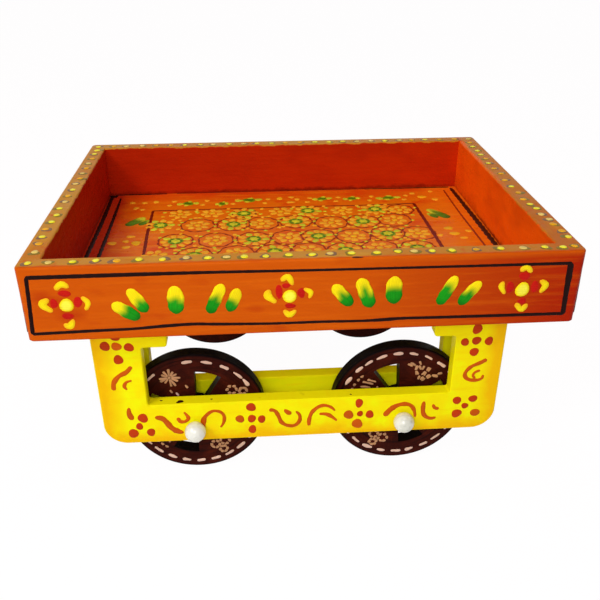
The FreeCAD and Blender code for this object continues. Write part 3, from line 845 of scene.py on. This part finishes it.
# The panel round the rosettes, and the lines by the walls with their paints. Each spot has a width.
PANEL = (
    ((-103.5, 62.9, 2.2), (-102.8, 21.1, 2.6), (-101.2, -14.7, 2.4), (-100.7, -59.5, 2.4)),
    ((-103.9, 62.7, 1.8), (-50.6, 63, 1.6), (-1.3, 63.5, 1.6), (48, 63, 1.6), (97.1, 63.9, 1.8)),
    ((96.7, 64.3, 2.8), (97.9, 30.8, 3), (98.9, -14.6, 3), (99.7, -59.2, 2.4)),
    ((-101.1, -58.9, 2), (-39.7, -59.4, 1.8), (29.6, -58.9, 1.8), (100.1, -59, 2)),
)
FLOOR_LINES = (
    (((-139.2, 98.3, 3.4), (-138.3, 40.9, 3.6), (-138.3, -28.6, 3.4), (-137.7, -97.5, 3.4)), BLACK),
    (((-131.9, 92, 1.6), (-131.4, 70, 2.4), (-130.9, 40.9, 2.8), (-130.2, -18.7, 3),
      (-130.1, -95.5, 2.8)), BLACK),
    (((134.3, 96.6, 3.6), (135.3, 40.6, 4.4), (136, -18.6, 4.2), (136.6, -95.8, 3.2)), DARK_BROWN),
    (((127.3, 91.8, 1.6), (127.2, 40.6, 1.6), (128.6, -28.5, 1.8), (129.3, -93.9, 1.6)), RING_BROWN),
    (((-137, 99.5, 1.6), (-118.2, 99.5, 2), (-96.4, 99.7, 1.4)), BLACK),
    (((-88.5, 99.8, 1), (-41.1, 99.8, 1.1), (18.1, 99.5, 1), (67.2, 99.4, 1.2)), RUST),
    (((63.3, 99.2, 1.4), (96.7, 98.9, 2), (132.9, 98.8, 2.2)), DARK_BROWN),
    (((-128.9, -97.1, 1.8), (-29.4, -97, 1.6), (59.7, -96.6, 1.8), (128.8, -96.6, 1.8)), DARK_BROWN),
)

# Marks between the panel and the walls. Blobs: right, back, width, height, and whether it is a
# golden one. Sprigs: right, back and length. Leaves: lime end, green end and width.
FLOOR_BLOBS = (
    (-124.7, 3.7, 6.6, 6, 0), (-115.9, 6.1, 4.6, 5, 0), (-114.2, -3.5, 6, 4.6, 0),
    (-108.3, 2.5, 7.4, 7.6, 1), (-113.8, 14.5, 6.4, 4.6, 0), (111.6, 13.3, 7, 6.4, 1),
    (113.2, 3.4, 7.6, 6.4, 1), (117.9, -4.4, 5.6, 4.4, 0), (124.5, 7.1, 5.2, 4.8, 0),
    (102.7, 1.1, 4.4, 4.4, 0), (-121.4, 81, 5.2, 4.6, 0), (-116.8, 69.3, 5, 4.8, 0),
    (-111.7, 66, 4.6, 3.6, 0), (-102.9, 81.7, 5.4, 5, 0), (-111.7, 80.2, 5, 4.2, 0),
    (100.3, 86, 4.8, 5, 0), (106.4, 78.1, 8.4, 5.2, 1), (115.7, 71.7, 5.4, 5.6, 0),
    (115.7, 89.7, 4.6, 4.4, 0), (-6.6, 82.2, 5.6, 6.4, 1), (2.7, 84.5, 5.2, 4.6, 0),
    (1.9, 73.7, 7, 5, 0), (6.9, 79.9, 4.8, 4.8, 0), (-118.6, -76.4, 5, 4.6, 0),
    (-112.4, -84.5, 5.6, 4.8, 1), (-106, -76.8, 5, 4.6, 0), (-112.6, -70.1, 4.8, 4.6, 0),
    (108.2, -70.3, 4.8, 4.6, 0), (114.6, -78, 5.6, 4.8, 1), (102.4, -78.4, 5, 4.6, 0),
    (108.8, -85.2, 5, 4.4, 0), (-5.6, -77.2, 5.4, 5.4, 1), (2.9, -72.6, 5.2, 4.6, 0),
    (2.2, -83, 6.2, 4.6, 0), (8.7, -78.3, 4.8, 4.8, 0),
)
FLOOR_SPRIGS = (
    (-78, 76.3, 16), (-51.8, 74.2, 10), (-30.8, 80.6, 20), (26.8, 79.4, 15), (50.2, 78.2, 13),
    (79.2, 77.8, 19), (-79, -78.6, 16), (-53.4, -77.4, 12), (-28.2, -79.3, 18), (27.4, -78, 15),
    (52.1, -79.1, 13), (79.6, -77.7, 18),
)
BETWEEN_SPRIGS = (-90.5, -65, -41.5, -17, 16, 38.5, 65, 92.5)
FLOOR_LEAVES = (
    ((-108.2, 50), (-119.4, 34.6), 9), ((-104.6, 44.6), (-110.2, 35), 5.6),
    ((104.6, 51.2), (116.8, 32.6), 8.6), ((102.8, 43), (108.4, 33.6), 5.2),
    ((-118.4, -27.4), (-110.6, -45.2), 9), ((-109.6, -28.8), (-106, -38.6), 5.4),
    ((105.6, -26.2), (117, -43.9), 8.8), ((115.8, -27.8), (120.2, -37.2), 5.4),
)
BORDER_MIDDLE = 77.6
# How far the painted panel reaches from the tray's middle, right and back, and its scallops' radii.
PANEL_REACH = 100, 61.5
SCALLOP_RADIUS = 11.9
SMALLEST_SCALLOP = 8
LOBES = 8
# Rosettes stand in one row when their places back differ by less than this.
SAME_ROW = 5
# How far inside the panel's reach the small dots stay.
DOT_MARGIN = 1.5, 1
# A black dot in the left back corner, painted shade where the walls meet the floor: its place and size.
CORNER_SHADE_DOT = -137.6, 96.6, (5.8, 7.4)


def away(right, high, far, angle):
    """The spot that lies far from another one, at an angle in radians from its right."""
    return right + far * cos(angle), high + far * sin(angle)


def sprig(paint, right, high, length):
    """A green drop with a lime petal at each end, before it and behind it."""
    paint.dot(right, high, (length * 0.62, 8.2), ROSE_GREEN, rise=0.2, ragged=0.12, middle=FLOOR_GREEN)
    for side in (-1, 1):
        spot = right + side * length * 0.38, high + side * 0.6
        paint.dot(*spot, (length * 0.34, 5.4), ROSE_LIME, rise=0.28, ragged=0.12)
    for lift in (-3.6, 3.8):
        paint.dot(right + lift / 3, high + lift, (length * 0.26, 3.6), ROSE_LIME, rise=0.28, ragged=0.12)


def rosette(paint, right, high, is_green):
    """A ring of petals round a dot, and in a green one a ring of drops between them."""
    start = paint.some(0, tau)
    if is_green:
        paint.dot(right, high, 12.2, ROSE_GREEN, rise=0.1, ragged=0.06, middle=ROSE_LIME)
        for k in range(6):
            angle = start + tau * k / 6
            spot = away(right, high, 3.9, angle)
            paint.dot(*spot, (2.6, 4.2), FLOOR_GREEN, rise=0.24, turn=degrees(angle), ragged=0.12)
    petals, far = (9, 8.2) if is_green else (7, 6.2)
    for k in range(petals):
        angle = start + tau * (k + 0.5) / petals
        spot = away(right, high, far, angle)
        petal = ROSE_LIME if is_green and k % 3 == 0 else ROSE_ORANGE
        paint.dot(*spot, (5.8, 4.9), petal, rise=0.26, turn=degrees(angle), ragged=0.14)
    paint.dot(right, high, 4 if is_green else 5, ROSE_LIME if is_green else GOLD, rise=0.4)


def scallop(paint, right, high, radius, start):
    """A thin closed line round a rosette, with shallow lobes."""
    path = []
    for k in range(LOBES * 4 + 1):
        angle = start + tau * k / (LOBES * 4)
        bulge = radius + 0.8 * abs(sin(LOBES * (angle - start) / 2)) - 0.4
        path.append((*away(right, high, bulge, angle), 1.4))
    paint.line(path, RING_BROWN, rise=0.16, step=1.5, ragged=0.4)


def paint_floor():
    face = level_face(FLOOR_TOP)
    lines = Strokes("floor_lines", face, "floor_paint")
    for path, paint in FLOOR_LINES:
        lines.line(path, paint, rise=0.2, step=2.6, ragged=0.18)
    for path in PANEL:
        lines.line(path, RUST, rise=0.2, step=2.6, ragged=0.16)
    lines.dot(*CORNER_SHADE_DOT, BLACK, rise=0.3, ragged=0.2)
    lines.build()

    rings = Strokes("floor_scallops", face, "floor_paint")
    for right, high, _ in ROSETTES:
        radius = min(SCALLOP_RADIUS, PANEL_REACH[X] - abs(right), PANEL_REACH[Y] - abs(high))
        if radius > SMALLEST_SCALLOP:
            scallop(rings, right, high, radius, rings.some(0, tau))
    rings.build()

    blooms = Strokes("floor_rosettes", face, "floor_paint")
    for spot in ROSETTES:
        rosette(blooms, *spot)
    for (right, high, _), (after, level, _) in zip(ROSETTES, ROSETTES[1:]):
        if abs(level - high) < SAME_ROW:
            for lift in (-8.5, 8.5):
                blooms.dot((right + after) / 2, high + lift, 3.4, ROSE_ORANGE, rise=0.26, ragged=0.1)
    for right, high, _ in ROSETTES:
        for k in range(5):
            angle = tau * (k + blooms.some(-0.3, 0.3)) / 5
            far = blooms.some(12.6, 13.8)
            u, v = away(right, high, far, angle)
            if abs(u) < PANEL_REACH[X] - DOT_MARGIN[X] and abs(v) < PANEL_REACH[Y] - DOT_MARGIN[Y]:
                blooms.dot(u, v, (3.2, 2.6), GOLD if k % 2 else ROSE_LIME, rise=0.24, ragged=0.14)
    blooms.build()

    border = Strokes("floor_border", face, "floor_paint")
    for right, high, wide, tall, is_gold in FLOOR_BLOBS:
        border.dot(right, high, (wide, tall), GOLD if is_gold else ROSE_ORANGE, rise=0.35, ragged=0.12)
    for spot in FLOOR_SPRIGS:
        sprig(border, *spot)
    for start, end, width in FLOOR_LEAVES:
        border.leaf(start, end, width, 0.66, ROSE_LIME, FLOOR_GREEN)
    for right in BETWEEN_SPRIGS:
        for side in (-1, 1):
            for lift in (-4.2, 4.2):
                spot = right + lift / 3, side * BORDER_MIDDLE + lift
                border.dot(*spot, (4.4, 4), ROSE_ORANGE, rise=0.3, ragged=0.12)
    border.build()


# Marks of the outer side boards: dots as right, high, width and height, and strokes. Their sizes
# are multiplied by these growths.
DOT_GROWTH = 1.08, 1.04
STROKE_GROWTH = 0.94
BOARD_DOTS = (
    (-109.5, 109.3, 5.4, 4.9), (-115.8, 103.7, 5.5, 6.9), (-109.5, 103.2, 5.7, 5.9),
    (-102.5, 102.3, 5.5, 6.1), (-109.3, 93.9, 5.4, 6.9), (-99.7, 51, 6.3, 6.9),
    (-102.3, 44.6, 4.4, 5.3), (-106.4, 39.6, 5.9, 7.3), (-95.8, 39.9, 5, 6.3),
    (-33.1, 55.6, 6.1, 6.3), (-40.3, 47, 5.5, 5.9), (-33, 47, 5.3, 5.9), (-26.9, 46, 4.9, 5.9),
    (-32.9, 38.5, 4.9, 6.5), (33.9, 55.3, 4.9, 6.7), (27.6, 46.8, 6.1, 6.9), (34.9, 47.1, 3.9, 4.5),
    (40.9, 46.1, 5.1, 6.3), (33.4, 39.2, 6.9, 7.3), (95.8, 53.9, 5.5, 5.9), (105.9, 54.9, 5.5, 5.5),
    (101.5, 49.6, 4.5, 4.5), (96.5, 43.9, 6.5, 6.5), (108.4, 44, 6.1, 5.9), (103, 106.1, 5.7, 7.7),
    (96.4, 97.1, 5.1, 5.5), (103.5, 97.9, 5.5, 5.9), (111.1, 97.1, 5.1, 6.1), (102.9, 89.6, 5.5, 6.1),
)
BOARD_STROKES = (
    ((-102.4, 89.1, 2.6), (-105.8, 85.2, 3.6), (-110.8, 82.2, 3.4), (-114.1, 77.5, 3.8), (-114.6, 72.5, 3)),
    ((-103.3, 79.1, 1.6), (-106.6, 78, 2.2), (-108.2, 74.9, 2.6), (-106.7, 72.5, 1.6)),
    ((-107.3, 59.3, 1.6), (-107.5, 54.8, 4.2), (-106.1, 49.9, 3.6)),
    ((-92.4, 51.1, 3.4), (-88.2, 50.1, 4.4), (-85.3, 46.6, 4.4), (-83.1, 42.7, 4.6), (-79.3, 39.7, 4.6),
     (-75.8, 38.4, 3.2)),
    ((-78.6, 50.2, 2.8), (-77.2, 47.2, 3), (-74.2, 47, 2.8), (-72, 49.6, 2.8), (-74.4, 54.3, 1.8)),
    ((-62.7, 41.3, 1.4), (-62.9, 46.9, 4), (-60.9, 51, 2.8), (-56.8, 54, 2.6), (-52.4, 53.2, 2.6),
     (-50.1, 49.9, 2.6), (-50.5, 45.3, 2.4), (-52.6, 41.2, 1.4)),
    ((-22.1, 53.1, 3.6), (-18.6, 52.1, 3), (-16.5, 48.3, 3), (-14.5, 42.9, 3.2), (-10.4, 40.2, 3),
     (-6.1, 40.3, 3), (-3.3, 43.6, 3), (-3.2, 47.9, 2.6), (-5.5, 51.2, 1.6)),
    ((-12.7, 53, 2), (-11, 51, 3.6), (-8.6, 49, 4.6)),
    ((2.6, 39.5, 2.8), (2.8, 44.2, 3), (4.4, 49.5, 3), (7.8, 53.2, 3), (11.7, 54.7, 2.8),
     (16, 53.3, 2.4), (19.1, 50.1, 1.4)),
    ((9.1, 48.3, 2.2), (13.6, 47.8, 3.2), (17.2, 45.4, 2.8), (20.3, 42.3, 1.4)),
    ((50.2, 44.4, 3.6), (53.9, 49.1, 4.6), (58.3, 52.2, 3.8), (63, 53, 3.6), (66.9, 51.5, 3.2),
     (69.2, 47.6, 2.8), (70.2, 42.3, 1.6)),
    ((75, 54.4, 2.6), (74.7, 49.2, 3.4), (75.3, 44.8, 3.4), (77.6, 41.9, 3.2), (80.7, 40.8, 2.8),
     (83.5, 41.6, 1.8)),
    ((80.8, 51.9, 1.8), (82.2, 49, 3.2), (84.9, 48.2, 2.6)),
    ((111.4, 84, 3.8), (107.7, 81.8, 3.2), (102.4, 79.2, 3), (99.2, 75.3, 3), (99.2, 71.8, 3),
     (102.1, 69.4, 3), (106.6, 68.9, 2.8), (109.7, 70, 2.4), (110.5, 72.8, 1.6)),
    ((108.2, 76.1, 1.8), (105.1, 74.9, 2.2), (104, 72.4, 2.2), (105.6, 70.4, 1.8)),
)
# Dark specks on the front bar's top: right, back and width.
SPECKS = ((-77, -92.6, 4.6), (-88.2, -90.6, 1.8), (-57.5, -91.4, 1.6), (29, -92.6, 1.5))


def paint_board(row):
    face = upright_face((0, BOARD_FACE[row], 0), (1 if row == "front" else -1, 0, 0))
    marks = Strokes("board_marks_" + row, face, "side_board_paint")
    for right, high, wide, tall in BOARD_DOTS:
        paint = MOTIF_RED if marks.random.random() < 0.8 else MOTIF_ORANGE
        marks.dot(right, high, (wide * DOT_GROWTH[X], tall * DOT_GROWTH[Y]), paint, rise=0.4, ragged=0.07)
    for path in BOARD_STROKES:
        thin = [(right, high, width * STROKE_GROWTH) for right, high, width in path]
        marks.line(thin, MOTIF_ORANGE, rise=0.3, step=1.1, ragged=0.09)
    marks.build()


def paint_specks():
    grime = Strokes("board_specks", level_face(BOARD_FOOT + BAR_HEIGHT), "side_board_paint")
    for right, high, wide in SPECKS:
        grime.dot(right, high, (wide, wide * 0.7), DARK_BROWN, rise=0.15, ragged=0.25)
    grime.build()


# Dashes near the wheels' rims, clockwise from the top as the face is seen, in degrees.
WHEEL_DASHES = {
    "front_left": (
        -42.6, -5.3, 12.5, 29.6, 44.8, 55.6, 75.3, 89.9, 105, 120.1, 135.9, 150, 164.7, 179.3,
        193.5, 207.8, 222.9, 237.4, 252.5, 267.6, 282.9, 300.4,
    ),
    "front_right": (
        -43.7, -32.7, -19.5, -3.9, 10.7, 25.7, 40.8, 56.4, 72, 88.2, 104.4, 120.7, 136.9, 151.1,
        166.2, 179.5, 194.7, 209.7, 224.4, 239, 254.2, 269.4, 285.2, 300.6,
    ),
    "back_left": tuple(15 * k + 4 for k in range(24)),
    "back_right": tuple(15 * k - 3 for k in range(24)),
}
DASH_RADIUS = 38.8
DASH_LENGTH = 6.6
SPRAY_RADIUS = 31
# A plume's strokes end inside this radius, clear of the dashes.
PLUME_REACH = DASH_RADIUS - 3.2


def around(radius, turn):
    """The spot on a wheel's face at a radius, turned clockwise from the top by degrees."""
    return radius * sin(radians(turn)), radius * cos(radians(turn))


def tick(marks, start, end, thin, thick, paint=SPRAY_TAN, ragged=0.16):
    """A short stroke that widens from its start to its end."""
    marks.line([(*start, thin), (*end, thick)], paint, rise=0.2, step=1, ragged=ragged)


def daisy(marks, angle):
    """A ragged flower of long petals, with strokes round it."""
    right, high = around(SPRAY_RADIUS + 0.5, angle)
    for k in range(12):
        way = radians(30 * k + marks.some(-8, 8))
        reaches = 1.2, marks.some(4.8, 7.4)
        ends = [away(right, high, far, way) for far in reaches]
        tick(marks, *ends, 1.1, 1.9)
    marks.dot(right, high, 2.2, SPRAY_TAN, rise=0.26)
    for reach, aside, paint in ((8.5, -11, SPRAY_TAN), (12.5, -7, DASH_PINK), (10, 14, SPRAY_TAN)):
        start = around(SPRAY_RADIUS - reach + 1.6, angle + aside)
        end = around(SPRAY_RADIUS - reach - 1.2, angle + aside * 1.15)
        tick(marks, start, end, 1.2, 1.9, paint, ragged=0.08)


def cluster(marks, angle):
    """Three rings of petals with a stem between them."""
    for radius, aside, size in ((33.8, 1, 2.3), (28.4, -7.5, 2.9), (28, 6.5, 2.7)):
        right, high = around(radius, angle + aside)
        for k in range(6):
            way = radians(60 * k + marks.some(-9, 9))
            spot = away(right, high, size, way)
            marks.dot(*spot, (2.8, 2.2), SPRAY_TAN, rise=0.22, turn=degrees(way) + 90, ragged=0.14)
    stem = [(*around(radius, angle + 1), 1.3) for radius in (24, 21, 18.5)]
    marks.line(stem, SPRAY_TAN, rise=0.18, step=1)


def plume(marks, angle):
    """A bush of short strokes, in rows that spread from a root near the hub."""
    right, high = around(19.5, angle + 9)
    for reach, count, length in ((4.2, 3, 3), (8, 6, 3.2), (11.8, 8, 3.2), (15.2, 10, 3)):
        for k in range(count):
            way = radians(angle - 4 + 92 * ((k + 0.5) / count - 0.5) + marks.some(-6, 6))
            near, far = reach - length / 2, reach + length / 2
            swing = way + marks.some(-0.2, 0.2)
            end = right + far * sin(swing), high + far * cos(swing)
            if hypot(*end) < PLUME_REACH:
                tick(marks, (right + near * sin(way), high + near * cos(way)), end, 1.4, 2.2)


def fan(marks, angle):
    """A row of slanting strokes between two rows of dots."""
    for k in range(7):
        spot = angle - 20 + 6.6 * k + marks.some(-1, 1)
        start = around(marks.some(23, 24.5), spot + 4)
        end = around(marks.some(28.5, 31), spot - 2)
        tick(marks, start, end, 1.2, 2)
        marks.dot(*around(33.6, spot - 3), (2.6, 1.9), SPRAY_TAN, rise=0.22, turn=-spot, ragged=0.14)
        if k % 2:
            marks.dot(*around(20.2, spot + 4), (1.9, 1.5), SPRAY_TAN, rise=0.22, turn=-spot, ragged=0.14)


# What is painted on each wheel's spokes, clockwise from the top as the face is seen.
WHEEL_SPRAYS = {
    "front_left": (cluster, cluster, fan, daisy),
    "front_right": (plume, daisy, cluster, fan),
    "back_left": (daisy, cluster, plume, fan),
    "back_right": (cluster, fan, daisy, plume),
}


def paint_wheel(corner):
    row = corner.split("_")[0]
    across = 1 if row == "front" else -1
    x, _, z = WHEEL_PLACES[corner]
    face = upright_face((x, WHEEL_FACE[row], z), (across, 0, 0))
    dashes = Strokes("wheel_dashes_" + corner, face, "wheel_paint", "wheel_" + corner)
    for middle in WHEEL_DASHES[corner]:
        half = degrees(DASH_LENGTH / 2 / DASH_RADIUS) * dashes.some(0.8, 1.15)
        width = dashes.some(1.8, 2.7)
        slant = dashes.some(-0.35, 0.35)
        path = []
        for part in (-1, 0, 1):
            spot = around(DASH_RADIUS + part * slant, middle + part * half)
            path.append((*spot, width * (1.15 - 0.3 * abs(part - 0.4))))
        dashes.line(path, DASH_PINK, rise=0.24, step=1, ragged=0.14)
    dashes.build()
    sprays = Strokes("wheel_sprays_" + corner, face, "wheel_paint", "wheel_" + corner)
    for quarter, paint_spray in enumerate(WHEEL_SPRAYS[corner]):
        paint_spray(sprays, across * WHEEL_TURNS[corner] + 45 + 90 * quarter)
    sprays.build()


# The backdrop: a plane that looks evenly white but keeps the cart's shadow, and a white world
# that lights the cart only weakly.
FLOOR_HALF = 4
FLOOR_GLOW = 1.02
GLOW_SHARE = 0.96
WORLD_LIGHT = 0.3


def seen_directly(tree):
    """1 for a ray from the camera, or one that a glossy or clear surface sends on."""
    path = tree.node("LightPath").outputs
    reflected = tree.math("MAXIMUM", path["Is Glossy Ray"], path["Is Transmission Ray"])
    return tree.math("MAXIMUM", path["Is Camera Ray"], reflected)


def add_floor():
    corners = [(u * FLOOR_HALF, v * FLOOR_HALF, 0) for u, v in ((-1, -1), (1, -1), (1, 1), (-1, 1))]
    mesh = bpy.data.meshes.new("floor")
    mesh.from_pydata(corners, [], [(0, 1, 2, 3)])
    floor = add_object("floor", mesh)
    tree = Paint("floor_paper")
    tree.shader.inputs["Base Color"].default_value = (0.9, 0.88, 0.89, 1)
    tree.shader.inputs["Roughness"].default_value = 0.9
    glow = tree.node("Emission", (1, 0.99, 0.992), FLOOR_GLOW)
    share = tree.both(seen_directly(tree), GLOW_SHARE)
    mix = tree.node("MixShader", share, tree.shader.outputs[0], glow.outputs[0])
    tree.feed(tree.nodes["Material Output"].inputs[0], mix.outputs[0])
    mesh.materials.append(tree.owner)


def set_world():
    world = bpy.data.worlds.new("world")
    bpy.context.scene.world = world
    tree = Tree(world)
    back = tree.nodes["Background"]
    back.inputs["Color"].default_value = (1, 0.98, 0.98, 1)
    seen = tree.both(seen_directly(tree), 1 - WORLD_LIGHT)
    tree.feed(back.inputs["Strength"], tree.add(seen, WORLD_LIGHT))


add_camera()
set_world()
add_area("key", (-1.1, -1, 1.45), (0, 0, 0.1), 0.6, 15.5)
add_area("front", (-0.10, -0.62, 0.42), (0, 0, 0.08), 0.22, 1.35)
add_area("top", (0.05, -0.1, 1.3), (0, 0, 0.1), 0.6, 1.8)
add_floor()

LONG_PAINT = wall_material("tray_paint_long", (46, 12, 3.2), RED_WALL_SHADED_LEFT, RED_WALL_BACK_LIT, 1)
END_PAINT = wall_material("tray_paint_end", (12, 46, 3.2), RED_WALL_SHADED_LEFT, RED_WALL_RIGHT_LIT, 0.25)
BOARD_OUTER = board_material("board_paint_outer", BOARD_YELLOW, 0.95)
# Painted light: the inner boards get a lighter yellow against the shade under the tray.
BOARD_INNER = board_material("board_paint_inner_lightened", BOARD_LIGHTENED_YELLOW, 0.3)
BEAD_GLOSS = bead_material()
PIN_GRAIN = pin_material()
MATERIALS = {"tray_floor": floor_material(), "tray_wall_left": END_PAINT, "tray_wall_right": END_PAINT}
for row in BOARD_FACE:
    MATERIALS["tray_wall_" + row] = LONG_PAINT
    MATERIALS["side_board_" + row + "_outer"] = BOARD_OUTER
    MATERIALS["side_board_" + row + "_inner"] = BOARD_INNER
for corner in WHEEL_PLACES:
    MATERIALS["wheel_" + corner] = wheel_material(corner)
    MATERIALS["axle_" + corner] = PIN_GRAIN
    MATERIALS["axle_bead_" + corner] = BEAD_GLOSS
for node, item in frame["nodes"].items():
    item.data.materials.clear()
    item.data.materials.append(MATERIALS[node])

ENAMEL = stroke_material()
LONG_MARKS = LONG_OUTLINE, LONG_FLOWERS, LONG_LEAVES
END_MARKS = END_OUTLINE, END_FLOWERS, END_LEAVES
paint_tray_side("front", upright_face((0, FRONT_FACE, 0), (1, 0, 0)), *LONG_MARKS)
paint_tray_side("back", upright_face((0, BACK_FACE, 0), (-1, 0, 0)), *LONG_MARKS)
paint_tray_side("left", upright_face((-END_FACE, 0, 0), (0, -1, 0)), *END_MARKS)
paint_tray_side("right", upright_face((END_FACE, 0, 0), (0, 1, 0)), *END_MARKS)
paint_rim()
paint_floor()
paint_board("front")
paint_specks()
paint_board("back")
for corner in WHEEL_PLACES:
    paint_wheel(corner)
